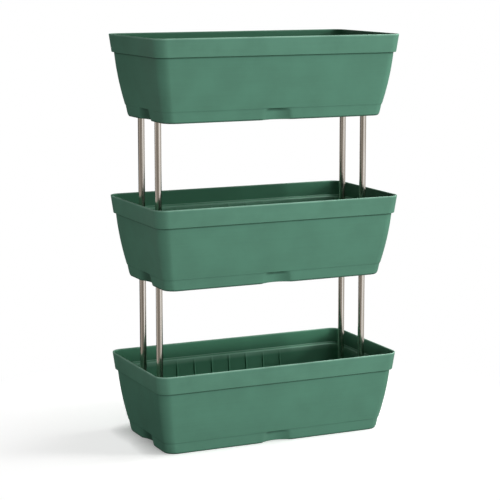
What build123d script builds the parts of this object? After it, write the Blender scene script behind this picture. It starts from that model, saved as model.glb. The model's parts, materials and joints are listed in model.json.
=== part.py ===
"""Three-tier vertical garden bed: moulded trough tubs stacked on steel tube posts.

Units are millimetres. X runs along the tubs, the front is -Y, +Z is up.
The origin is on the ground, under the middle of the stack.
"""

import os

from build123d import *

# Tub: plan size at the outer edge of the rim, and height
rim_length = 600.0
rim_width = 310.0
tub_height = 185.0
rim_corner_radius = 28.0
base_corner_radius = 21.0
wall = 3.0

# Rim band: the upright collar round the mouth of the tub
band_height = 41.0
band_lean = 5.0
band_step = 4.5

# Body wall under the band: leans in towards the base with an outward belly, in straight bands
body_lean = 19.0
body_belly = 2.3
belly_bands = 3

# Skirt: the foot of the tub, set in by a crease, hollow under the floor
skirt_height = 27.0
skirt_crease = 1.0
skirt_lean = 4.5
floor_thickness = 3.0

# Finger scallops in the middle of each side of the skirt
scallop_width = 72.0
scallop_depth = 12.0
scallop_top_width = 60.0

# Stiffening ribs inside the long walls, under the ledge
rib_count = 7
rib_pitch = 45.0
rib_thickness = 2.6
rib_depth = 1.6

# Drain slots through the floor
drain_columns = 3
drain_rows = 2
drain_column_pitch = 160.0
drain_row_pitch = 110.0
drain_length = 24.0
drain_width = 5.0

# Posts: steel tubes with a plug in each end
post_radius = 7.5
post_wall = 1.0
tube_length = 360.0
post_row_gap = 100.0
plug_head = 2.0
plug_shank = 14.0
plug_fin = 2.4
plug_clearance = 0.05

# Sockets: square collars on the floor and square bosses under it, for the round posts and square plug heads
socket_clearance = 0.3
socket_wall = 2.5
collar_height = 25.0
boss_lift = 4.0

# Derived sizes
body_top_inset = band_lean + band_step
body_foot_inset = body_top_inset + body_lean
skirt_top_inset = body_foot_inset + skirt_crease
base_inset = skirt_top_inset + skirt_lean
band_foot = tub_height - band_height
ledge_foot = band_foot + wall
ledge_top = ledge_foot + band_step
floor_top = skirt_height + floor_thickness
socket_bore = 2 * (post_radius + socket_clearance)
socket_side = socket_bore + 2 * socket_wall
post_x = rim_length / 2 - base_inset - wall - socket_bore / 2
post_y = post_row_gap / 2
tier_pitch = tube_length + 2 * plug_head + floor_thickness
cut_margin = 1.0
on_base = (Align.CENTER, Align.CENTER, Align.MIN)


def corner_at(inset):
    """Outer corner radius of the plan where the wall stands in by inset."""
    shrink = (rim_corner_radius - base_corner_radius) / base_inset
    return rim_corner_radius - shrink * inset


def plan(inset, z, skin=0.0):
    """Plan of the tub at height z, moved a further skin in from the outer surface."""
    length = rim_length - 2 * (inset + skin)
    width = rim_width - 2 * (inset + skin)
    return Pos(0, 0, z) * RectangleRounded(length, width, corner_at(inset) - skin)


def band_inset(z):
    return band_lean * (tub_height - z) / band_height


def body_inset(z):
    """The body wall bellies outwards between its straight top and foot."""
    down = (band_foot - z) / (band_foot - skirt_height)
    return body_top_inset + body_lean * down - 4 * body_belly * down * (1 - down)


def skirt_inset(z):
    return skirt_top_inset + skirt_lean * (skirt_height - z) / skirt_height


def standing_box(length, width, height):
    return Box(length, width, height, align=on_base)


def standing_rod(radius, height):
    return Cylinder(radius, height, align=on_base)


def between(low, high, bands):
    return [low + (high - low) * step / bands for step in range(bands + 1)]


def walls(levels, skin=0.0):
    """Solid through the plans at these (inset, height) levels, straight from each to the next."""
    return loft([plan(inset, z, skin) for inset, z in levels], ruled=True)


def bellied_wall(low, high, skin=0.0):
    return walls([(body_inset(z), z) for z in between(low, high, belly_bands)], skin)


def tub_envelope():
    """Outer form of the tub, solid: skirt, bellied body and rim band."""
    skirt = walls([(base_inset, 0), (skirt_top_inset, skirt_height)])
    body = bellied_wall(skirt_height, band_foot)
    band = walls([(band_lean, band_foot), (0, tub_height)])
    return skirt + body + band


def tub_cavity():
    """Space for soil: straight inside the band, a sloping ledge, then the body down to the floor."""
    mouth = walls([(band_inset(z), z) for z in (ledge_top, tub_height + cut_margin)], wall)
    ledge = walls([(body_inset(ledge_foot), ledge_foot), (band_inset(ledge_top), ledge_top)], wall)
    return mouth + ledge + bellied_wall(floor_top, ledge_foot, wall)


def wall_ribs():
    """Upright ribs on the inner faces of both long walls, from the floor up to the ledge."""
    lining = bellied_wall(floor_top, ledge_foot, wall)
    lining -= bellied_wall(floor_top, ledge_foot, wall + rib_depth)
    blade = standing_box(rib_thickness, rim_width, ledge_foot - floor_top)
    places = GridLocations(rib_pitch, 0, rib_count, 1)
    return [lining & (Pos(0, 0, floor_top) * place * blade) for place in places]


def scallop_cone(skin):
    """Tapered core of one finger scallop, on the axis of its arc, wider towards the ground."""
    base_radius = (scallop_width ** 2 / 4 + scallop_depth ** 2) / (2 * scallop_depth)
    axis_out = base_radius - scallop_depth
    top_out = axis_out - skirt_lean
    top_radius = (scallop_top_width ** 2 / 4 + top_out ** 2) ** 0.5
    core = Cone(base_radius + skin, top_radius + skin, skirt_height, align=on_base)
    return core, axis_out


def scallops(skin):
    """The four scallop cores, one in the middle of each side."""
    core, axis_out = scallop_cone(skin)
    x = rim_length / 2 - base_inset + axis_out
    y = rim_width / 2 - base_inset + axis_out
    return [Pos(place) * core for place in ((x, 0, 0), (-x, 0, 0), (0, y, 0), (0, -y, 0))]


def post_places(z):
    return [Pos(0, 0, z) * place for place in GridLocations(2 * post_x, 2 * post_y, 2, 2)]


def make_tub():
    """One tub moulding, standing on the ground."""
    tub = tub_envelope() - tub_cavity()
    tub -= scallops(0)
    hollow = walls([(skirt_inset(z), z) for z in (-cut_margin, skirt_height)], wall)
    tub -= hollow - scallops(wall)
    tub += wall_ribs()
    collar = standing_box(socket_side, socket_side, collar_height)
    collar -= standing_box(socket_bore, socket_bore, collar_height)
    boss = standing_box(socket_side, socket_side, skirt_height - boss_lift)
    boss_bore = standing_box(socket_bore, socket_bore, skirt_height - boss_lift)
    tub += [place * collar for place in post_places(floor_top)]
    tub += [place * boss for place in post_places(boss_lift)]
    tub -= [place * boss_bore for place in post_places(boss_lift)]
    slot = standing_box(drain_length, drain_width, floor_thickness)
    slots = GridLocations(drain_column_pitch, drain_row_pitch, drain_columns, drain_rows)
    return tub - Pos(0, 0, skirt_height) * slots * slot


def make_tube():
    """Post tube, standing on z = 0."""
    return standing_rod(post_radius, tube_length) - standing_rod(post_radius - post_wall, tube_length)


def make_plug():
    """End plug: a square head below z = 0, as wide as the tube, and four fins up inside it."""
    head = Pos(0, 0, -plug_head) * standing_box(2 * post_radius, 2 * post_radius, plug_head)
    bore = post_radius - post_wall - plug_clearance
    span = 2 * (bore ** 2 - plug_fin ** 2 / 4) ** 0.5
    fins = standing_box(span, plug_fin, plug_shank) + standing_box(plug_fin, span, plug_shank)
    return head + fins


def write(shape, name):
    export_step(shape, f"parts/{name}.step")


def main():
    os.makedirs("parts", exist_ok=True)
    tub = make_tub()
    for tier, name in enumerate(("bottom_tub", "middle_tub", "top_tub")):
        write(Pos(0, 0, tier * tier_pitch) * tub, name)
    tube = make_tube()
    foot_plug = make_plug()
    head_plug = Rot(180, 0, 0) * foot_plug
    corners = {"front_left": (-1, -1), "front_right": (1, -1), "rear_left": (-1, 1), "rear_right": (1, 1)}
    for tier, level in enumerate(("lower", "upper")):
        foot = tier * tier_pitch + floor_top + plug_head
        for corner, (side_x, side_y) in corners.items():
            stand = Pos(side_x * post_x, side_y * post_y, foot)
            write(stand * tube, f"{level}_post_{corner}")
            write(stand * foot_plug, f"{level}_post_{corner}_foot_plug")
            write(stand * Pos(0, 0, tube_length) * head_plug, f"{level}_post_{corner}_head_plug")


main()
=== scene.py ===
import json
from math import cos, pi, radians, sin, sqrt

import bmesh
import bpy
from mathutils import Matrix, Vector


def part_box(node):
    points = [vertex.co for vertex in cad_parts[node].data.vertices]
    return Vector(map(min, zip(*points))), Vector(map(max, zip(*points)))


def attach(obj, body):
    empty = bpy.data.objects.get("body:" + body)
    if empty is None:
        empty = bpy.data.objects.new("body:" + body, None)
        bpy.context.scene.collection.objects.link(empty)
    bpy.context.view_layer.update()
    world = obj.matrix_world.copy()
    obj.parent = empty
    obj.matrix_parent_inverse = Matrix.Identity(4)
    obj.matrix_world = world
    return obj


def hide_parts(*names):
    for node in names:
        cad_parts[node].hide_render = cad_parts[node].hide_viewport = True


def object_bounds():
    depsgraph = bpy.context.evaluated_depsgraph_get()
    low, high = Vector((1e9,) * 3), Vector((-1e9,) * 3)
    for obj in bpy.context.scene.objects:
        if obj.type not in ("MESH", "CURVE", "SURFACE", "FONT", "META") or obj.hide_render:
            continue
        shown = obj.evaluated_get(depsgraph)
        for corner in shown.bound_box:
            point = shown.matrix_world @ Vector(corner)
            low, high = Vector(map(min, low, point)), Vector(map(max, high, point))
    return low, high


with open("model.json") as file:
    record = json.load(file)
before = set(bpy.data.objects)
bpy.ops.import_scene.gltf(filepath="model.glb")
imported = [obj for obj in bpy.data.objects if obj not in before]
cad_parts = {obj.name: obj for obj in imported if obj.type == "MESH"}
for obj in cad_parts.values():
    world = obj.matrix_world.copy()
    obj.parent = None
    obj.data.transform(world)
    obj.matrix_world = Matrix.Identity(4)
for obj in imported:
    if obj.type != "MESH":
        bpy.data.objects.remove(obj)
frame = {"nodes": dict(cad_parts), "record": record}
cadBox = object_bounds()
mm = 0.001
touching = 0.02 * mm  # values this close count as the same
tubNodes = ("bottom_tub", "middle_tub", "top_tub")
postNodes = [f"{level}_post_{corner}" for level in ("lower", "upper")
             for corner in ("front_left", "front_right", "rear_left", "rear_right")]
bodyOf = {node: body for body, nodes in frame["record"]["behaviour"]["bodies"].items() for node in nodes}
print("frame loaded,", len(frame["nodes"]), "nodes")


# small helpers

def linear(hexColour):
    # sRGB hex to linear light
    parts = [int(hexColour[i:i + 2], 16) / 255 for i in (1, 3, 5)]
    return [p / 12.92 if p <= 0.04045 else ((p + 0.055) / 1.055) ** 2.4 for p in parts] + [1]


def addNode(tree, kind, feeds=None, **settings):
    made = tree.nodes.new(kind)
    for name, value in settings.items():
        setattr(made, name, value)
    for socket, value in (feeds or {}).items():
        if isinstance(value, bpy.types.NodeSocket):
            tree.links.new(value, made.inputs[socket])
        else:
            made.inputs[socket].default_value = value
    return made


def startPiece(name):
    # names what was just added, puts its place into its mesh and opens it for editing
    piece = bpy.context.object
    piece.name = name
    bpy.ops.object.transform_apply(location=True, rotation=True, scale=True)
    bpy.ops.object.mode_set(mode="EDIT")
    bpy.ops.mesh.select_mode(type="VERT")
    return piece


def pick(kind, test):
    # selects the verts, edges or faces that pass the test, and nothing else
    bpy.ops.mesh.select_mode(type=kind[:-1].upper())
    bpy.ops.mesh.select_all(action="DESELECT")
    mesh = bmesh.from_edit_mesh(bpy.context.edit_object.data)
    for part in getattr(mesh, kind):
        part.select_set(bool(test(part)))
    mesh.select_flush_mode()
    bmesh.update_edit_mesh(bpy.context.edit_object.data)


def near(value, wanted):
    return abs(value - wanted) < touching


def isUpright(edge):
    return not near(edge.verts[0].co.z, edge.verts[1].co.z)


def onlySelect(*pieces):
    bpy.ops.object.select_all(action="DESELECT")
    for piece in pieces:
        piece.select_set(True)
    bpy.context.view_layer.objects.active = pieces[0]


def modify(piece, kind, **settings):
    onlySelect(piece)
    modifier = piece.modifiers.new(kind.lower(), kind)
    for name, value in settings.items():
        setattr(modifier, name, value)
    bpy.ops.object.modifier_apply(modifier=modifier.name)


def pointOutwards():
    bpy.ops.object.mode_set(mode="EDIT")
    bpy.ops.mesh.select_all(action="SELECT")
    bpy.ops.mesh.normals_make_consistent(inside=False)
    bpy.ops.object.mode_set(mode="OBJECT")


def smooth(piece, degrees):
    onlySelect(piece)
    bpy.ops.object.shade_smooth_by_angle(angle=radians(degrees))
    modify(piece, "WEIGHTED_NORMAL", keep_sharp=True, weight=60)


def copyTo(piece, name, move):
    # a copy with its own mesh, whose place goes into that mesh
    onlySelect(piece)
    bpy.ops.object.duplicate()
    copy = bpy.context.object
    copy.name = name
    bpy.ops.transform.translate(value=move)
    bpy.ops.object.transform_apply(location=True)
    return copy


def stand(piece, node, material):
    # the piece stands for its CAD node and moves with it
    piece.data.materials.clear()
    piece.data.materials.append(material)
    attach(piece, bodyOf[node])
    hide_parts(node)


# tub: one moulding with a rim band, a bellied body, a skirt and finger scallops

tubLow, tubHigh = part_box("bottom_tub")
tub = {
    "halfLength": (tubHigh.x - tubLow.x) / 2, "halfWidth": (tubHigh.y - tubLow.y) / 2,
    "height": tubHigh.z - tubLow.z,
    "rimCorner": 28 * mm, "baseCorner": 21 * mm, "wall": 3 * mm,
    "bandHeight": 41 * mm, "bandLean": 5 * mm, "bandStep": 4.5 * mm,
    "bodyLean": 19 * mm, "bodyBelly": 2.3 * mm,
    "skirtHeight": 27 * mm, "skirtCrease": 1 * mm, "skirtLean": 4.5 * mm,
    "floor": 3 * mm, "floorLap": 4,  # the lap is counted in walls
    "lipRound": 1.35 * mm, "bandRound": 1.7 * mm, "innerRound": 0.7 * mm, "creaseRound": 0.6 * mm,
    "creaseSlope": 1.3 * mm, "noseRound": 0.7 * mm, "floorRound": 5 * mm,
    "footRound": 4.5 * mm, "footGrow": 6 * mm, "footReach": 9 * mm,
    "beadStep": 1.2 * mm, "beadRound": 0.35 * mm,
    "beadDrop": 0.2, "beadFootIn": 1.2, "beadFootDrop": 1.4,  # in bead steps
    "cornerSteps": 14, "bellySteps": 10, "roundSteps": 4, "skirtSteps": 3, "edgeStrip": 4 * mm,
    "cornerPasses": 8, "smoothAngle": 32,
}
# columns, and the ribs' places and half widths, are in mm along a side from its middle
scallop = {"footHalf": 36 * mm, "topHalf": 30 * mm, "footDepth": 12 * mm, "topDepth": 9.3 * mm,
           "soft": 1.6 * mm, "reach": 1.5, "columns": [6, 12, 18, 23, 27, 30, 33, 36, 39.5]}
ribs = {"places": [0, 45, 90, 135], "foot": 2.6, "crest": 0.9, "depth": 1.6 * mm, "topGap": 3 * mm}
plainColumns = {"front": [56, 68, 112, 160, 190, 215], "end": [58, 72, 86]}
columnSlack = 0.1  # in mm too

bodyTop = tub["bandLean"] + tub["bandStep"]
bodyFoot = bodyTop + tub["bodyLean"]
skirtTop = bodyFoot + tub["skirtCrease"]
baseInset = skirtTop + tub["skirtLean"]
bandFoot = tub["height"] - tub["bandHeight"]
floorTop = tub["skirtHeight"] + tub["floor"]
ledgeFoot = bandFoot + tub["wall"]
ledgeTop = ledgeFoot + tub["bandStep"]
beadTop = ledgeTop + tub["beadStep"] / 2
beadEdge = beadTop - tub["beadDrop"] * tub["beadStep"]
beadFoot = beadTop - tub["beadFootDrop"] * tub["beadStep"]


def bandAt(z):
    return tub["bandLean"] * (tub["height"] - z) / tub["bandHeight"]


bandInside = bandAt(beadTop) + tub["wall"]


def bodyInset(z):
    down = (bandFoot - z) / (bandFoot - tub["skirtHeight"])
    return bodyTop + tub["bodyLean"] * down - 4 * tub["bodyBelly"] * down * (1 - down)


def skirtAt(z):
    return baseInset + (skirtTop - baseInset) * z / tub["skirtHeight"]


def between(low, high, steps):
    return [low + (high - low) * step / steps for step in range(1, steps)]


def wallSection():
    # corners of the wall's section as (inset, height, depth in the wall, rounding), from under the floor,
    # round the foot, up the outside, over the lip and down to the floor again
    wall, skirt, belly, strip = tub["wall"], tub["skirtHeight"], tub["bellySteps"], tub["edgeStrip"]
    skirtHeights = [*between(0, skirt, tub["skirtSteps"]), skirt - strip]
    lap = tub["floorLap"] * wall

    corners = [(skirtTop + lap, skirt, wall, 0), (skirtTop + wall, skirt, wall, tub["innerRound"])]
    corners += [(skirtAt(z) + wall, z, wall, 0) for z in reversed(skirtHeights)]
    corners += [(baseInset + wall, 0, wall, tub["footRound"]), (baseInset, 0, 0, tub["footRound"])]
    corners += [(skirtAt(z), z, 0, 0) for z in skirtHeights]
    corners += [(skirtTop, skirt - tub["creaseSlope"], 0, 0), (bodyFoot, skirt, 0, tub["creaseRound"])]
    # narrow strips beside the edges keep the marks along them narrow
    corners += [(bodyInset(z), z, 0, 0) for z in [*between(skirt, bandFoot, belly), bandFoot - strip]]
    corners += [(bodyTop, bandFoot, 0, tub["innerRound"]), (tub["bandLean"], bandFoot, 0, tub["bandRound"])]
    belowLip = tub["height"] - strip
    corners += [(bandAt(z), z, 0, 0) for z in (bandFoot + strip, belowLip)]
    corners += [(0, tub["height"], 0, tub["lipRound"]), (wall, tub["height"], wall, tub["lipRound"])]
    corners += [(bandAt(z) + wall, z, wall, 0) for z in (belowLip, beadTop + strip)]
    # the inner ledge starts with a small bead and ends in a nose
    bead, beadRound = tub["beadStep"], tub["beadRound"]
    corners += [(bandInside, beadTop, wall, beadRound)]
    corners += [(bandInside + bead, beadEdge, wall, beadRound)]
    corners += [(bandInside + tub["beadFootIn"] * bead, beadFoot, wall, beadRound)]
    corners += [(bodyInset(ledgeFoot) + wall, ledgeFoot, wall, tub["noseRound"])]
    corners += [(bodyInset(z) + wall, z, wall, 0) for z in reversed(between(floorTop, ledgeFoot, belly))]
    floorEdge = bodyInset(floorTop) + wall
    corners += [(floorEdge, floorTop, wall, tub["floorRound"]), (floorEdge + lap, floorTop, wall, 0)]
    return corners


def roundedLevels(corners):
    # each rounded corner becomes a short curve that leaves both its sides smoothly
    levels = []
    for before, corner, after in zip(corners, corners[1:], corners[2:]):
        middle, reach = Vector(corner[:3]), corner[3]
        if not reach:
            levels.append(middle)
            continue
        ends = []
        for other in (before, after):
            side = Vector(other[:3]) - middle
            # at most to the middle of the side
            ends.append(middle + side * min(0.5, reach / side.xy.length))
        for step in range(tub["roundSteps"] + 1):
            share = step / tub["roundSteps"]
            levels.append(ends[0].lerp(middle, share).lerp(middle.lerp(ends[1], share), share))
    return levels


def cornerRadius(level):
    inset, height, skin = level
    shrink = (tub["rimCorner"] - tub["baseCorner"]) / baseInset
    # the corners of the foot are rounder
    grown = tub["footGrow"] * max(0, 1 - height / tub["footReach"]) ** 2
    return tub["rimCorner"] - shrink * (inset - skin) - skin + grown


def scallopDepth(along, level):
    # how far the skirt is pressed in, with the edges of the scallop softened
    up, skin = level.y / tub["skirtHeight"], level.z
    half = scallop["footHalf"] + (scallop["topHalf"] - scallop["footHalf"]) * up
    depth = scallop["footDepth"] + (scallop["topDepth"] - scallop["footDepth"]) * up
    radius = (half ** 2 + depth ** 2) / (2 * depth) + skin
    arc = sqrt(max(radius ** 2 - along ** 2, 0)) - (radius - depth)
    return (arc + sqrt(arc ** 2 + scallop["soft"] ** 2)) / 2


def selectRing(ring, columns, count):
    bpy.ops.mesh.select_all(action="DESELECT")
    mesh = bmesh.from_edit_mesh(bpy.context.edit_object.data)
    mesh.verts.ensure_lookup_table()
    for column in columns:
        mesh.verts[ring * count + column].select_set(True)
    mesh.select_flush(True)


def planChain(level):
    # a quarter of the plan at the first level: half a front side, a round corner and half an end
    inset, height = level.x, level.y
    radius = cornerRadius(level)
    cornerX, cornerY = tub["halfLength"] - inset - radius, tub["halfWidth"] - inset - radius
    ribEdges = [place + side for place in ribs["places"] for edge in (ribs["foot"], ribs["crest"])
                for side in (-edge, edge)]
    front = sorted({x * mm for x in [*scallop["columns"], *ribEdges, *plainColumns["front"]] if x > 0})
    end = sorted({y * mm for y in [*scallop["columns"], *plainColumns["end"]]}, reverse=True)
    bpy.ops.object.select_all(action="DESELECT")
    bpy.ops.mesh.primitive_plane_add(size=tub["wall"], location=(0, inset - tub["halfWidth"], height))
    piece = startPiece("tub_quarter")
    bpy.ops.mesh.merge(type="CENTER")
    for old, new in zip([0, *front], [*front, cornerX]):
        bpy.ops.mesh.extrude_vertices_move(TRANSFORM_OT_translate={"value": (new - old, 0, 0)})
    bpy.ops.mesh.spin(steps=tub["cornerSteps"], angle=-pi / 2, center=(cornerX, -cornerY, height),
                      axis=(0, 0, 1))
    for old, new in zip([cornerY, *end], [*end, 0]):
        bpy.ops.mesh.extrude_vertices_move(TRANSFORM_OT_translate={"value": (0, old - new, 0)})
    return piece


def quarterShell():
    levels = roundedLevels(wallSection())
    piece = planChain(levels[0])
    mesh = bmesh.from_edit_mesh(piece.data)
    places = [v.co.copy() for v in mesh.verts]
    count = len(places)
    radius = cornerRadius(levels[0])
    cornerX = tub["halfLength"] - levels[0].x - radius
    cornerY = tub["halfWidth"] - levels[0].x - radius
    front = [i for i, p in enumerate(places) if p.x < cornerX - columnSlack * mm]
    end = [i for i, p in enumerate(places) if p.y > columnSlack * mm - cornerY]
    corner = [i for i in range(count) if i not in front and i not in end]
    for ring, (old, new) in enumerate(zip(levels, levels[1:])):
        selectRing(ring, range(count), count)
        bpy.ops.mesh.extrude_edges_move(TRANSFORM_OT_translate={"value": (0, 0, new.y - old.y)})
        step = new.x - old.x
        selectRing(ring + 1, front, count)
        bpy.ops.transform.translate(value=(0, step, 0))
        selectRing(ring + 1, end, count)
        bpy.ops.transform.translate(value=(-step, 0, 0))
        radius, wanted = cornerRadius(old), cornerRadius(new)
        slide = step + wanted - radius
        selectRing(ring + 1, corner, count)
        bpy.ops.transform.translate(value=(-slide, slide, 0))
        centre = (tub["halfLength"] - new.x - wanted, new.x + wanted - tub["halfWidth"], new.y)
        bpy.ops.transform.resize(value=(wanted / radius, wanted / radius, 1), center_override=centre)
    # press the scallops into the skirt, which ends at the crease
    crease = next(i for i, level in enumerate(levels) if near(level.x, skirtTop) and level.z == 0)
    reach = scallop["columns"][-1] * scallop["reach"] * mm
    for ring, level in enumerate(levels[:crease + 1]):
        for column, place in enumerate(places):
            if column in front and place.x < reach:
                move = (0, scallopDepth(place.x, level), 0)
            elif column in end and -place.y < reach:
                move = (-scallopDepth(-place.y, level), 0, 0)
            else:
                continue
            selectRing(ring, [column], count)
            bpy.ops.transform.translate(value=move)
    # raise the ribs on the inner face, from the floor up to the ledge
    halfCrest = (ribs["crest"] + columnSlack) * mm
    crests = [i for i in front if any(abs(places[i].x - x * mm) < halfCrest for x in ribs["places"])]
    ribTop = ledgeFoot - ribs["topGap"]
    inner = [i for i, level in enumerate(levels) if level.z > 0 and i > crease and level.y < ribTop]
    bpy.ops.mesh.select_all(action="DESELECT")
    mesh = bmesh.from_edit_mesh(piece.data)
    mesh.verts.ensure_lookup_table()
    for ring in inner:
        for column in crests:
            mesh.verts[ring * count + column].select_set(True)
    mesh.select_flush(True)
    bpy.ops.transform.translate(value=(0, ribs["depth"], 0))
    bpy.ops.object.mode_set(mode="OBJECT")
    return piece


sockets = {"side": 20.6 * mm, "bore": 15.6 * mm, "collar": 25 * mm, "bossLift": 4 * mm, "sink": 1.5 * mm,
           "cornerRound": 3 * mm, "cornerSteps": 5, "mouthRound": 0.7 * mm, "mouthSteps": 3,
           "place": (255.2 * mm, -50 * mm), "sharpAngle": 0.7}  # the angle is in radians


def socketBlock(name, low, high, mouthUp):
    # a square block with rounded corners, bored from its mouth
    x, y = sockets["place"]
    bpy.ops.object.select_all(action="DESELECT")
    bpy.ops.mesh.primitive_cube_add(size=1, location=(x, y, (low + high) / 2),
                                    scale=(sockets["side"], sockets["side"], high - low))
    block = startPiece(name)
    mouth = high if mouthUp else low
    pick("edges", isUpright)
    bpy.ops.mesh.bevel(offset=sockets["cornerRound"], segments=sockets["cornerSteps"], affect="EDGES")
    pick("faces", lambda f: all(near(v.co.z, mouth) for v in f.verts))
    bpy.ops.mesh.inset(thickness=(sockets["side"] - sockets["bore"]) / 2)
    depth = high - low - sockets["sink"] / 2
    bpy.ops.mesh.extrude_region_move(TRANSFORM_OT_translate={"value": (0, 0, -depth if mouthUp else depth)})
    sharp = sockets["sharpAngle"]
    pick("edges", lambda e: all(near(v.co.z, mouth) for v in e.verts) and e.calc_face_angle(0) > sharp)
    bpy.ops.mesh.bevel(offset=sockets["mouthRound"], segments=sockets["mouthSteps"], affect="EDGES")
    bpy.ops.object.mode_set(mode="OBJECT")
    return block


drains = {"length": 24 * mm, "width": 5 * mm, "columnPitch": 160 * mm, "row": 55 * mm,
          "endShare": 0.49, "endSteps": 6, "cutFloors": 3}


def drainCutter():
    # three slots with round ends, mirrored to the second row
    slots = []
    for column in (-1, 0, 1):
        bpy.ops.object.select_all(action="DESELECT")
        bpy.ops.mesh.primitive_cube_add(
            size=1, location=(column * drains["columnPitch"], -drains["row"], floorTop - tub["floor"] / 2),
            scale=(drains["length"], drains["width"], drains["cutFloors"] * tub["floor"]))
        slots.append(startPiece("drain_slot"))
        pick("edges", isUpright)
        bpy.ops.mesh.bevel(offset=drains["endShare"] * drains["width"], segments=drains["endSteps"],
                           affect="EDGES")
        bpy.ops.object.mode_set(mode="OBJECT")
    onlySelect(*slots)
    bpy.ops.object.join()
    modify(slots[0], "MIRROR", use_axis=(False, True, False), use_mirror_merge=False)
    return slots[0]


# marks along edges, as (inset, height, reach, strength): painted highlights that make the lip and the ledge
# edges pale, and painted shade that darkens under the band, in the crease, under the scallop roofs and along
# the foot
creaseFoot = tub["skirtHeight"] - tub["creaseSlope"]
edgeMarks = {
    "paintedHighlight": {"lip": (tub["wall"] / 2, tub["height"], 3 * mm, 1),
             "bead": (bandInside + tub["beadStep"], beadEdge, 1.3 * mm, 0.8),
             "nose": (bodyInset(ledgeFoot) + tub["wall"], ledgeFoot, 1.6 * mm, 0.6)},
    "soil": {"underBand": (bodyTop, bandFoot - 1 * mm, 3.2 * mm, 1),
             "crease": (skirtTop, creaseFoot, 1.2 * mm, 0.15),
             "scallopRoof": (skirtTop + scallop["topDepth"], creaseFoot, 8 * mm, 1),
             "foot": (baseInset, 0.6 * mm, 3.2 * mm, 1)},
}
# marks over areas: painted shade inside the band and in the end scallops, and a painted lighter tone on the
# outside of the band
areaMarks = {"paintedBandShade": 0.18, "paintedScallopShade": 0.55, "paintedBandLight": 0.03}


def insetOf(place, skin):
    # how far in from the outline of the rim a point lies, with its round corner found step by step
    x, y = abs(place.x), abs(place.y)
    inset = min(tub["halfLength"] - x, tub["halfWidth"] - y)
    for attempt in range(tub["cornerPasses"]):
        radius = cornerRadius((inset, place.z, skin))
        outX = x - tub["halfLength"] + inset + radius
        outY = y - tub["halfWidth"] + inset + radius
        if min(outX, outY) > 0:
            inset -= sqrt(outX ** 2 + outY ** 2) - radius
    return inset


def findInside(place):
    # a point's inset, and whether it lies on the inside of the tub
    outer = bandAt(place.z) if place.z > bandFoot else bodyInset(place.z)
    inset = insetOf(place, 0)
    if inset > outer + tub["wall"] / 2 and place.z > tub["skirtHeight"] + tub["floor"] / 2:
        return insetOf(place, tub["wall"]), 1
    return inset, 0


def markOf(name, place, inset, inside):
    # how much painted highlight or painted shade a point gets
    if name == "soil" and inside:
        return areaMarks["paintedBandShade"] if place.z > ledgeTop else 0
    if near(place.z, tub["skirtHeight"]) and inset > skirtTop + tub["wall"] / 2:
        return 0  # the underside of the floor gets no painted marks
    mark = 0
    for edgeInset, height, reach, strength in edgeMarks[name].values():
        away = sqrt((inset - edgeInset) ** 2 + (place.z - height) ** 2)
        mark = max(mark, strength * max(0, 1 - away / reach))
    # the outside of the band is painted a little lighter, as painted light
    if name == "paintedHighlight" and place.z > bandFoot and not inside:
        mark = max(mark, areaMarks["paintedBandLight"])
    # the scallops at the ends get painted shade, darker where the recess is pressed in deeper
    atEnd = abs(place.y) < scallop["footHalf"] and abs(place.x) > tub["halfLength"] / 2
    if name == "soil" and atEnd and place.z < tub["skirtHeight"]:
        pressed = (inset - skirtAt(place.z)) / scallop["topDepth"]
        mark = max(mark, areaMarks["paintedScallopShade"] * min(1, max(0, pressed)))
    return mark


def markEdges(piece):
    # the marks are kept on the mesh for the plastic to read
    places = [vert.co.copy() for vert in piece.data.vertices]
    found = [findInside(place) for place in places]
    values = {"inside": [pair[1] for pair in found]}
    for name in edgeMarks:
        values[name] = [markOf(name, place, *pair) for place, pair in zip(places, found)]
    for name, marks in values.items():
        piece.data.attributes.new(name, "FLOAT", "POINT").data.foreach_set("value", marks)


def makeTub():
    shell = quarterShell()
    modify(shell, "MIRROR", use_axis=(True, True, False), merge_threshold=0.01 * mm)
    bpy.ops.object.mode_set(mode="EDIT")
    bpy.ops.mesh.select_all(action="SELECT")
    bpy.ops.mesh.fill_holes(sides=0)
    pointOutwards()
    print("tub shell,", len(shell.data.polygons), "faces")
    collar = socketBlock("collar", floorTop - sockets["sink"], floorTop + sockets["collar"], True)
    boss = socketBlock("boss", sockets["bossLift"], tub["skirtHeight"] + sockets["sink"], False)
    onlySelect(collar, boss)
    bpy.ops.object.join()
    modify(collar, "MIRROR", use_axis=(True, True, False), use_mirror_merge=False)
    pointOutwards()
    cutter = drainCutter()
    modify(shell, "BOOLEAN", operation="UNION", solver="EXACT", object=collar)
    modify(shell, "BOOLEAN", operation="DIFFERENCE", solver="EXACT", object=cutter)
    for tool in (collar, cutter):
        bpy.data.objects.remove(tool)
    smooth(shell, tub["smoothAngle"])
    markEdges(shell)
    print("tub finished,", len(shell.data.polygons), "faces")
    return shell


# post: drawn steel tube with deburred ends

post = {"wall": 1 * mm, "sides": 64, "deburr": 0.25 * mm, "deburrSteps": 2,
        "edgeAngle": 50, "smoothAngle": 40}


def makePost():
    low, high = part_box(postNodes[0])
    bpy.ops.object.select_all(action="DESELECT")
    bpy.ops.mesh.primitive_cylinder_add(vertices=post["sides"], radius=(high.x - low.x) / 2,
                                        depth=high.z - low.z, end_fill_type="NOTHING",
                                        location=(low + high) / 2)
    tube = startPiece("post_tube")
    bpy.ops.object.mode_set(mode="OBJECT")
    modify(tube, "SOLIDIFY", thickness=post["wall"], offset=-1, use_even_offset=True)
    modify(tube, "BEVEL", width=post["deburr"], segments=post["deburrSteps"], limit_method="ANGLE",
           angle_limit=radians(post["edgeAngle"]))
    smooth(tube, post["smoothAngle"])
    return tube


# plug: square head with soft edges, and four tapered fins that grip the inside of the tube

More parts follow.
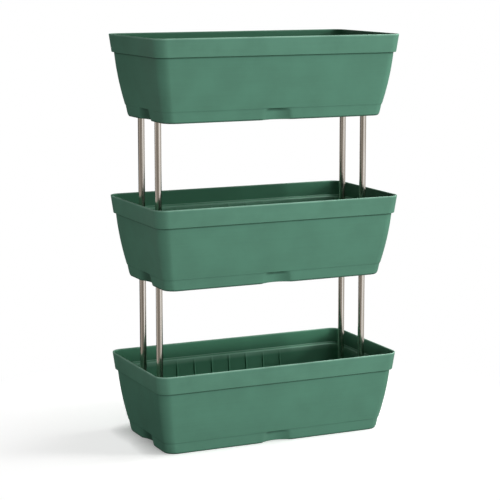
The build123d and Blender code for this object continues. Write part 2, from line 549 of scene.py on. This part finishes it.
plug = {"head": 2 * mm, "seat": 0.05 * mm, "fin": 2.4 * mm, "shank": 14 * mm, "clearance": 0.05 * mm,
        "cornerRound": 1.6 * mm, "cornerSteps": 4, "footRing": 1.2 * mm, "tipShare": 0.9,
        "edge": 0.35 * mm, "edgeSteps": 2, "edgeAngle": 40, "smoothAngle": 40}


def makePlug():
    low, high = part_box(postNodes[0] + "_foot_plug")
    postLow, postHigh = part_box(postNodes[0])
    centre = (low + high) / 2
    bore = (postHigh.x - postLow.x) / 2 - post["wall"] - plug["clearance"]
    halfFin = plug["fin"] / 2
    tip = sqrt(bore ** 2 - halfFin ** 2)
    bpy.ops.object.select_all(action="DESELECT")
    # a hair of room is left between the head and the floor that it stands on
    headFoot, headTop = low.z + plug["seat"], low.z + plug["head"]
    bpy.ops.mesh.primitive_cube_add(size=1, location=(centre.x, centre.y, (headFoot + headTop) / 2),
                                    scale=(high.x - low.x, high.y - low.y, headTop - headFoot))
    piece = startPiece("post_plug")
    pick("edges", isUpright)
    bpy.ops.mesh.bevel(offset=plug["cornerRound"], segments=plug["cornerSteps"], affect="EDGES")
    pick("faces", lambda f: near(f.normal.z, -1))
    bpy.ops.mesh.inset(thickness=plug["footRing"])
    for axis in (0, 1):
        for offset in (-tip, -halfFin, halfFin, tip):
            pick("faces", lambda f: all(near(v.co.z, headTop) for v in f.verts))
            spot, normal = list(centre), [0, 0, 0]
            spot[axis] += offset
            normal[axis] = 1
            bpy.ops.mesh.bisect(plane_co=spot, plane_no=normal)

    def underFin(f):
        x, y, z = f.calc_center_median() - Vector((centre.x, centre.y, headTop))
        inside = near(z, 0) and max(abs(x), abs(y)) < tip
        return inside and min(abs(x), abs(y)) < halfFin

    pick("faces", underFin)
    bpy.ops.mesh.extrude_region_move(TRANSFORM_OT_translate={"value": (0, 0, plug["shank"])})
    share = plug["tipShare"]
    bpy.ops.transform.resize(value=(share, share, 1), center_override=(centre.x, centre.y, headTop))
    bpy.ops.object.mode_set(mode="OBJECT")
    modify(piece, "BEVEL", width=plug["edge"], segments=plug["edgeSteps"], limit_method="ANGLE",
           angle_limit=radians(plug["edgeAngle"]))
    smooth(piece, plug["smoothAngle"])
    return piece


# materials

def startMaterial(name):
    # a new material, its node tree, its shader and the place of each point on the piece
    material = bpy.data.materials.new(name)
    material.use_nodes = True
    tree = material.node_tree
    place = addNode(tree, "ShaderNodeTexCoord").outputs["Object"]
    return material, tree, tree.nodes["Principled BSDF"], place


# the pale colour is a painted highlight, and the darkest colour and the inside colour are painted shade
tubFinish = {"green": "#54826e", "shade": "#507b68", "inside": "#4a8065", "highlightColour": "#b0dfc8",
             "soil": "#1f3a2e",
             "cloud": 60 * mm, "flowLength": 110 * mm, "flowWidth": 3.5 * mm, "flowShare": 0.22,
             "mottleSpan": (0.36, 0.64), "insideShare": 0.9, "patchSpan": (0.3, 0.6), "highlightPatches": (0.6, 1),
             "ior": 1.49, "gloss": 0.18, "roughness": (0.5, 0.64), "highlightPolish": 0.15,
             "grain": 1.8 * mm, "grainDepth": 0.1 * mm, "grainStrength": 0.25}


def mouldedPolypropylene():
    # moulded polypropylene: matt from the spark-eroded mould, a little cloudy, with faint flow lines along
    # the walls; painted highlights make the lip and the ledge edges pale, and painted shade darkens under the
    # band, in the crease, in the scallops, along the foot, inside the band and over the whole inside
    material, tree, shader, place = startMaterial("moulded polypropylene")
    cloud = addNode(tree, "ShaderNodeTexNoise", {"Vector": place, "Scale": 1 / tubFinish["cloud"],
                                                 "Detail": 4})
    along, across = 1 / tubFinish["flowLength"], 1 / tubFinish["flowWidth"]
    drawn = addNode(tree, "ShaderNodeMapping", {"Vector": place, "Scale": (along, along, across)})
    flow = addNode(tree, "ShaderNodeTexNoise", {"Vector": drawn.outputs[0], "Scale": 1, "Detail": 2})
    mottle = addNode(tree, "ShaderNodeMix", {"Factor": tubFinish["flowShare"], "A": cloud.outputs["Fac"],
                                             "B": flow.outputs["Fac"]}).outputs["Result"]
    low, high = tubFinish["mottleSpan"]
    tone = addNode(tree, "ShaderNodeMapRange", {"Value": mottle, "From Min": low, "From Max": high})
    colour = addNode(tree, "ShaderNodeMix", {"Factor": tone.outputs["Result"],
                                             "A": linear(tubFinish["shade"]),
                                             "B": linear(tubFinish["green"])}, data_type="RGBA")
    # the inside gets a darker, deeper green as painted shade
    within = addNode(tree, "ShaderNodeAttribute", attribute_name="inside").outputs["Fac"]
    insideShade = addNode(tree, "ShaderNodeMath", {0: within, 1: tubFinish["insideShare"]}, operation="MULTIPLY")
    colour = addNode(tree, "ShaderNodeMix", {"Factor": insideShade.outputs[0], "A": colour.outputs["Result"],
                                             "B": linear(tubFinish["inside"])}, data_type="RGBA")
    # the painted highlights on the edges come and go along their length
    mark = addNode(tree, "ShaderNodeAttribute", attribute_name="paintedHighlight").outputs["Fac"]
    low, high = tubFinish["patchSpan"]
    least, most = tubFinish["highlightPatches"]
    patches = addNode(tree, "ShaderNodeMapRange", {"Value": cloud.outputs["Fac"], "From Min": low,
                                                   "From Max": high, "To Min": least, "To Max": most})
    highlightMark = addNode(tree, "ShaderNodeMath", {0: mark, 1: patches.outputs["Result"]}, operation="MULTIPLY")
    colour = addNode(tree, "ShaderNodeMix", {"Factor": highlightMark.outputs[0], "A": colour.outputs["Result"],
                                             "B": linear(tubFinish["highlightColour"])}, data_type="RGBA")
    # painted shade: darker under the band, in the crease, in the scallops, along the foot and inside the band
    soiled = addNode(tree, "ShaderNodeAttribute", attribute_name="soil").outputs["Fac"]
    colour = addNode(tree, "ShaderNodeMix", {"Factor": soiled, "A": colour.outputs["Result"],
                                             "B": linear(tubFinish["soil"])}, data_type="RGBA")
    shader.inputs["IOR"].default_value = tubFinish["ior"]
    shader.inputs["Specular IOR Level"].default_value = tubFinish["gloss"]
    tree.links.new(colour.outputs["Result"], shader.inputs["Base Color"])
    least, most = tubFinish["roughness"]
    rough = addNode(tree, "ShaderNodeMapRange", {"Value": mottle, "To Min": least, "To Max": most})
    polished = addNode(tree, "ShaderNodeMath", {0: highlightMark.outputs[0], 1: -tubFinish["highlightPolish"],
                                                2: rough.outputs["Result"]}, operation="MULTIPLY_ADD")
    tree.links.new(polished.outputs[0], shader.inputs["Roughness"])
    # the real grain is about 0.3 mm, drawn coarser so that it shows
    grain = addNode(tree, "ShaderNodeTexNoise", {"Vector": place, "Scale": 1 / tubFinish["grain"],
                                                 "Detail": 3})
    bump = addNode(tree, "ShaderNodeBump", {"Height": grain.outputs["Fac"],
                                            "Distance": tubFinish["grainDepth"],
                                            "Strength": tubFinish["grainStrength"]})
    tree.links.new(bump.outputs["Normal"], shader.inputs["Normal"])
    return material


tubeFinish = {"bright": "#e4dfd8", "dull": "#c3bbb2", "lineWidth": 1.6 * mm, "lineLength": 150 * mm,
              "lineSpan": (0.35, 0.65), "roughness": (0.22, 0.12), "lineDepth": 0.05 * mm,
              "lineStrength": 0.12}


def satinSteelTube():
    # drawn stainless tube, satin polished: soft bright streaks with fine lines along the draw
    material, tree, shader, place = startMaterial("satin stainless tube")
    # the real lines are hair thin, drawn wider so that they show
    across, along = 1 / tubeFinish["lineWidth"], 1 / tubeFinish["lineLength"]
    drawn = addNode(tree, "ShaderNodeMapping", {"Vector": place, "Scale": (across, across, along)})
    lines = addNode(tree, "ShaderNodeTexNoise", {"Vector": drawn.outputs[0], "Scale": 1, "Detail": 3})
    low, high = tubeFinish["lineSpan"]
    tone = addNode(tree, "ShaderNodeMapRange", {"Value": lines.outputs["Fac"], "From Min": low,
                                                "From Max": high})
    colour = addNode(tree, "ShaderNodeMix", {"Factor": tone.outputs["Result"],
                                             "A": linear(tubeFinish["dull"]),
                                             "B": linear(tubeFinish["bright"])}, data_type="RGBA")
    tree.links.new(colour.outputs["Result"], shader.inputs["Base Color"])
    dull, bright = tubeFinish["roughness"]
    rough = addNode(tree, "ShaderNodeMapRange", {"Value": tone.outputs["Result"], "To Min": dull,
                                                 "To Max": bright})
    tree.links.new(rough.outputs["Result"], shader.inputs["Roughness"])
    bump = addNode(tree, "ShaderNodeBump", {"Height": lines.outputs["Fac"],
                                            "Distance": tubeFinish["lineDepth"],
                                            "Strength": tubeFinish["lineStrength"]})
    tree.links.new(bump.outputs["Normal"], shader.inputs["Normal"])
    shader.inputs["Metallic"].default_value = 1
    return material


plugFinish = {"black": "#1b1c1b", "scuffed": "#2d2f2d", "cloud": 6 * mm, "scuffSpan": (0.5, 0.7),
              "roughness": (0.42, 0.6), "ior": 1.51, "grain": 0.8 * mm, "grainDepth": 0.05 * mm,
              "grainStrength": 0.2}


def blackPolyethylene():
    # moulded polyethylene: black and waxy, with a fine mould grain and greyer scuffs from being pushed in
    material, tree, shader, place = startMaterial("black polyethylene")
    cloud = addNode(tree, "ShaderNodeTexNoise", {"Vector": place, "Scale": 1 / plugFinish["cloud"],
                                                 "Detail": 5})
    low, high = plugFinish["scuffSpan"]
    scuff = addNode(tree, "ShaderNodeMapRange", {"Value": cloud.outputs["Fac"], "From Min": low,
                                                 "From Max": high})
    colour = addNode(tree, "ShaderNodeMix", {"Factor": scuff.outputs["Result"],
                                             "A": linear(plugFinish["black"]),
                                             "B": linear(plugFinish["scuffed"])}, data_type="RGBA")
    tree.links.new(colour.outputs["Result"], shader.inputs["Base Color"])
    least, most = plugFinish["roughness"]
    rough = addNode(tree, "ShaderNodeMapRange", {"Value": scuff.outputs["Result"], "To Min": least,
                                                 "To Max": most})
    tree.links.new(rough.outputs["Result"], shader.inputs["Roughness"])
    grain = addNode(tree, "ShaderNodeTexNoise", {"Vector": place, "Scale": 1 / plugFinish["grain"],
                                                 "Detail": 2})
    bump = addNode(tree, "ShaderNodeBump", {"Height": grain.outputs["Fac"],
                                            "Distance": plugFinish["grainDepth"],
                                            "Strength": plugFinish["grainStrength"]})
    tree.links.new(bump.outputs["Normal"], shader.inputs["Normal"])
    shader.inputs["IOR"].default_value = plugFinish["ior"]
    return material


# assembly

greenPlastic, tubeSteel, blackPlastic = mouldedPolypropylene(), satinSteelTube(), blackPolyethylene()
print("materials made")
tubPattern = makeTub()
for nodeName in tubNodes:
    moulding = copyTo(tubPattern, nodeName + "_moulding", (0, 0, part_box(nodeName)[0].z))
    stand(moulding, nodeName, greenPlastic)
bpy.data.objects.remove(tubPattern)
tubePattern = makePost()
for nodeName in postNodes:
    tube = copyTo(tubePattern, nodeName + "_tube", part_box(nodeName)[0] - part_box(postNodes[0])[0])
    stand(tube, nodeName, tubeSteel)
bpy.data.objects.remove(tubePattern)
footPattern = makePlug()
headPattern = copyTo(footPattern, "head_plug", (0, 0, 0))
onlySelect(headPattern)
footLow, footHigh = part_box(postNodes[0] + "_foot_plug")
bpy.ops.transform.rotate(value=pi, orient_axis="X", center_override=(footLow + footHigh) / 2)
bpy.ops.object.transform_apply(location=True, rotation=True)
for nodeName in postNodes:
    for end, pattern in (("foot", footPattern), ("head", headPattern)):
        endNode = f"{nodeName}_{end}_plug"
        moulding = copyTo(pattern, endNode + "_moulding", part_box(endNode)[0] - footLow)
        stand(moulding, endNode, blackPlastic)
for pattern in (footPattern, headPattern):
    bpy.data.objects.remove(pattern)


# studio, in metres; azimuth 0 is straight in front, 90 is to the right

studio = {"floorSize": 60, "floorColour": "#ebebe9", "bounceColour": "#60605e", "white": "#ffffff",
          "nearRadius": 0.4, "farRadius": 0.8, "lift": 0.6, "closeRange": 0.052,
          "keySide": (0.52, -0.742, 0.423), "ambient": 0.07}
lamps = {"front": {"azimuth": -4, "distance": 3.2, "height": 0.33, "size": (2, 0.4), "watts": 66},
         "high": {"azimuth": 58, "distance": 3, "height": 1.2, "size": (0.9, 0.9), "watts": 54},
         "rear": {"azimuth": 176, "distance": 3.2, "height": 0.34, "size": (2, 0.46), "watts": 65},
         "left": {"azimuth": -118, "distance": 1.8, "height": 0.2, "size": (1.4, 0.3), "watts": 8.4},
         "side": {"azimuth": 84, "distance": 1.6, "height": 2.6, "size": (1.6, 1.6), "watts": 48,
                  "shine": True}}
# grey flags round the set, seen only in reflections, that give the steel its darker streaks
flagCard = {"gap": 0.5 * mm, "steps": 24}
farOff = {"distance": 2.2, "height": 3.6, "tuck": 1.75}
flags = {"side": {"azimuths": (-120, -78), "colour": "#b6b0a8", **farOff},
         "core": {"azimuths": (-78, -16), "colour": "#8e8982", **farOff},
         "front": {"azimuths": (-16, 8), "colour": "#c4beb6", **farOff},
         "back": {"azimuths": (-180, -108), "colour": "#4c4a46", "distance": 0.46, "height": 1.6, "tuck": 0},
         "right": {"azimuths": (60, 140), "colour": "#bdb9b4", **farOff},
         "foot": {"azimuths": (-172, -62), "colour": "#262a27", "distance": 0.355, "height": 0.13,
                  "tuck": 0.13}}


def seenDirectly(tree):
    # 1 for rays from the camera, a mirror or a window, 0 for the light that surfaces throw on each other
    rays = addNode(tree, "ShaderNodeLightPath").outputs
    direct = addNode(tree, "ShaderNodeMath", {0: rays["Is Camera Ray"], 1: rays["Is Glossy Ray"]},
                     operation="ADD")
    direct = addNode(tree, "ShaderNodeMath", {0: direct.outputs[0], 1: rays["Is Transmission Ray"]},
                     operation="ADD", use_clamp=True)
    return direct.outputs[0]


def paleFloor():
    # matt white paper, which fades into the white surround
    material = bpy.data.materials.new("pale studio floor")
    material.use_nodes = True
    tree = material.node_tree
    tree.nodes.clear()
    place = addNode(tree, "ShaderNodeTexCoord").outputs["Object"]
    distance = addNode(tree, "ShaderNodeVectorMath", {0: place}, operation="LENGTH").outputs["Value"]
    far = addNode(tree, "ShaderNodeMapRange", {"Value": distance, "From Min": studio["nearRadius"],
                                               "From Max": studio["farRadius"]},
                  interpolation_type="SMOOTHSTEP").outputs["Result"]
    paper = addNode(tree, "ShaderNodeBsdfDiffuse", {"Color": linear(studio["floorColour"])}).outputs[0]
    bounce = addNode(tree, "ShaderNodeBsdfDiffuse", {"Color": linear(studio["bounceColour"])}).outputs[0]
    white = addNode(tree, "ShaderNodeEmission", {"Color": linear(studio["white"]), "Strength": 1}).outputs[0]
    # the lift fades close to the object, on the side turned away from the front and high lamps, which paints
    # a contact shadow on the floor there
    towardsKey = addNode(tree, "ShaderNodeCombineXYZ", dict(zip("XYZ", studio["keySide"]))).outputs[0]
    openness = addNode(tree, "ShaderNodeAmbientOcclusion",
                       {"Distance": studio["closeRange"], "Normal": towardsKey}).outputs["AO"]
    glow = addNode(tree, "ShaderNodeMath", {0: openness, 1: studio["lift"]}, operation="MULTIPLY").outputs[0]
    lift = addNode(tree, "ShaderNodeEmission",
                   {"Color": linear(studio["white"]), "Strength": glow}).outputs[0]
    shaded = addNode(tree, "ShaderNodeAddShader", {0: paper, 1: lift}).outputs[0]
    seen = addNode(tree, "ShaderNodeMixShader", {0: far, 1: shaded, 2: white}).outputs[0]
    final = addNode(tree, "ShaderNodeMixShader", {0: seenDirectly(tree), 1: bounce, 2: seen}).outputs[0]
    addNode(tree, "ShaderNodeOutputMaterial", {"Surface": final})
    return material


def whiteSurround():
    # white to the eye and in reflections, and only a little light on the object
    world = bpy.data.worlds.new("studio surround")
    world.use_nodes = True
    tree = world.node_tree
    tree.nodes.clear()
    level = addNode(tree, "ShaderNodeMapRange", {"Value": seenDirectly(tree), "To Min": studio["ambient"],
                                                 "To Max": 1}).outputs["Result"]
    glow = addNode(tree, "ShaderNodeBackground", {"Color": linear(studio["white"]), "Strength": level})
    addNode(tree, "ShaderNodeOutputWorld", {"Surface": glow.outputs[0]})
    return world


def aroundStage(azimuth, distance, height):
    return Vector((distance * sin(radians(azimuth)), -distance * cos(radians(azimuth)), height))


def addSoftbox(name, azimuth, distance, height, size, watts, shine=False):
    place = aroundStage(azimuth, distance, height)
    bpy.ops.object.light_add(type="AREA", location=place)
    lamp = bpy.context.object
    lamp.name = name
    lamp.data.shape = "RECTANGLE"
    lamp.data.size, lamp.data.size_y = size
    lamp.data.energy = watts
    lamp.visible_glossy = shine
    lamp.rotation_euler = (middle - place).to_track_quat("-Z", "Y").to_euler()


def addFlag(name, azimuths, colour, distance, height, tuck):
    # a curved card: one upright edge swept round the set, which may lie on along the floor towards the object
    bpy.ops.object.select_all(action="DESELECT")
    start = aroundStage(azimuths[0], distance - tuck, flagCard["gap"])
    bend = aroundStage(azimuths[0], distance, flagCard["gap"])
    bpy.ops.mesh.primitive_plane_add(size=0.1, location=start)
    card = startPiece(name)
    bpy.ops.mesh.merge(type="CENTER")
    if tuck:
        bpy.ops.mesh.extrude_vertices_move(TRANSFORM_OT_translate={"value": bend - start})
    bpy.ops.mesh.extrude_vertices_move(TRANSFORM_OT_translate={"value": (0, 0, height)})
    bpy.ops.mesh.select_all(action="SELECT")
    bpy.ops.mesh.spin(steps=flagCard["steps"], angle=radians(azimuths[0] - azimuths[1]), center=(0, 0, 0),
                      axis=(0, 0, 1))
    bpy.ops.object.mode_set(mode="OBJECT")
    material = bpy.data.materials.new(name + " card")
    material.use_nodes = True
    tree = material.node_tree
    tree.nodes.clear()
    card.data.materials.append(material)
    tone = addNode(tree, "ShaderNodeEmission", {"Color": linear(colour), "Strength": 1})
    addNode(tree, "ShaderNodeOutputMaterial", {"Surface": tone.outputs[0]})
    card.visible_camera = card.visible_diffuse = card.visible_transmission = card.visible_shadow = False


middle = Vector((0, 0, (cadBox[0].z + cadBox[1].z) / 2))
bpy.ops.object.select_all(action="DESELECT")
bpy.ops.mesh.primitive_plane_add(size=studio["floorSize"], location=(0, 0, 0))
floor = bpy.context.object
floor.name = "studio_floor"
floor.data.materials.append(paleFloor())
bpy.context.scene.world = whiteSurround()
for name, settings in lamps.items():
    addSoftbox(name + "_softbox", **settings)
for name, settings in flags.items():
    addFlag(name + "_flag", **settings)
print("studio lit,", len(lamps), "lamps and", len(flags), "flags")

# camera, placed by fitting the rims, feet and posts to the photograph

view = {"lens": 123.3, "sensor": 36, "azimuth": 24.9, "elevation": 8.8, "distance": 3.934, "height": 0.4816,
        "aside": -8.7 * mm, "shift": -0.05}
turn, tilt = radians(view["azimuth"]), radians(view["elevation"])
back = Vector((-sin(turn) * cos(tilt), -cos(turn) * cos(tilt), sin(tilt)))
right = Vector((cos(turn), -sin(turn), 0))
eye = Vector((0, 0, view["height"])) + right * view["aside"] + back * view["distance"]
bpy.ops.object.camera_add(location=eye)
camera = bpy.context.object
camera.rotation_euler = Matrix((right, back.cross(right), back)).transposed().to_euler()
camera.data.lens, camera.data.sensor_width, camera.data.shift_y = view["lens"], view["sensor"], view["shift"]
bpy.context.scene.camera = camera
bpy.context.scene.view_settings.view_transform = "Standard"
print("camera ready")
